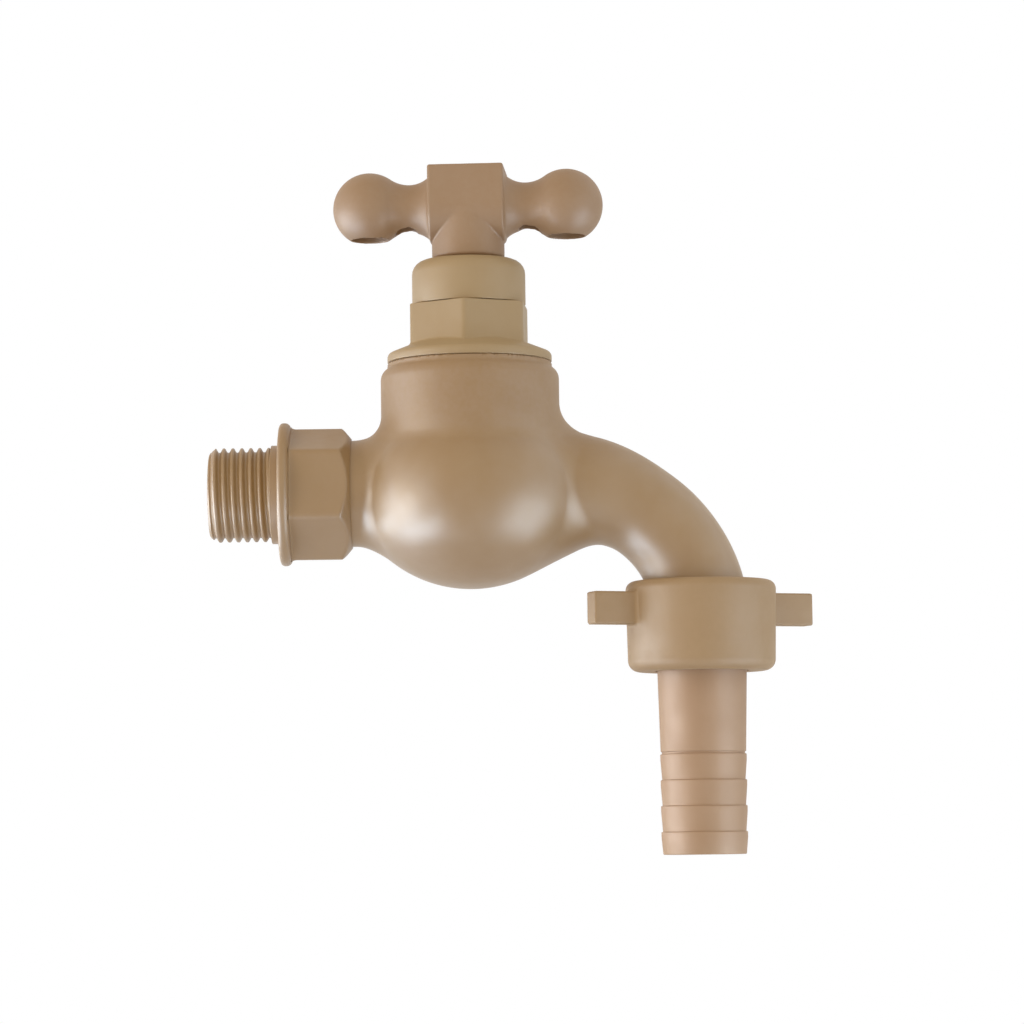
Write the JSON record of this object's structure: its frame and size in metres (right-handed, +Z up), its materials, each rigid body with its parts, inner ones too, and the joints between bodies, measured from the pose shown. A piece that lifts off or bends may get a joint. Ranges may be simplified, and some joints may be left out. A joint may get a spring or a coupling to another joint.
{
  "type": "hose bibb",
  "caption": "Screw-down bib tap with a T-handle, a male threaded inlet with a wall disc, a curved spout, a winged union nut and a barbed hose tail.",
  "frame": {"origin": "on the inlet axis, in the plane where the wall disc meets the wall", "axes": "-X runs out of the inlet thread into the wall, +X to the spout, +Z up the spindle"},
  "size_m": [0.1345, 0.05, 0.1534],
  "materials": {
    "body_plastic": "satin moulded tan plastic",
    "bonnet_plastic": "satin moulded tan plastic, slightly yellower",
    "handle_plastic": "satin moulded tan plastic, slightly redder",
    "nut_plastic": "satin moulded tan plastic",
    "tail_plastic": "satin moulded pinkish tan plastic with a pearly sheen",
    "spindle_brass": "machined",
    "seal_rubber": "matt black",
    "packing_fibre": "matt graphite",
    "screw_steel": "stainless"
  },
  "bodies": {
    "tap": {"body": "body_plastic", "bonnet": "bonnet_plastic", "bonnet_seal": "seal_rubber", "gland_cap": "bonnet_plastic", "gland_packing": "packing_fibre", "gland_follower": "spindle_brass"},
    "valve": {"jumper": "spindle_brass", "jumper_clip": "screw_steel", "valve_washer": "seal_rubber", "washer_nut": "spindle_brass"},
    "spindle_set": {"spindle": "spindle_brass", "handle": "handle_plastic", "handle_screw": "screw_steel", "screw_washer": "screw_steel"},
    "union_washer": {"tail_washer": "seal_rubber"},
    "union_nut": {"union_nut": "nut_plastic"},
    "hose_tail": {"hose_tail": "tail_plastic"}
  },
  "joints": [
    {"name": "valve_lift", "type": "slide", "parent": "tap", "child": "valve", "axis": [0, 0, 1], "range_m": [0, 0.006]},
    {"name": "handle_turn", "type": "hinge", "parent": "valve", "child": "spindle_set", "pos_m": [0.0424, 0, 0.06], "axis": [0, 0, 1], "range_deg": [0, 1080]},
    {"name": "union_drop", "type": "slide", "parent": "tap", "child": "union_washer", "axis": [0, 0, -1], "range_m": [0, 0.00726]},
    {"name": "nut_turn", "type": "hinge", "parent": "union_washer", "child": "union_nut", "pos_m": [0.093, 0, -0.03], "axis": [0, 0, -1], "range_deg": [0, 1440]},
    {"name": "tail_swivel", "type": "hinge", "parent": "union_washer", "child": "hose_tail", "pos_m": [0.093, 0, -0.06], "axis": [0, 0, -1], "continuous": true}
  ],
  "couplings": [
    {"joint": "handle_turn", "follows": "valve_lift", "rad_per_m": 3141.6},
    {"joint": "nut_turn", "follows": "union_drop", "rad_per_m": 3463.7}
  ]
}
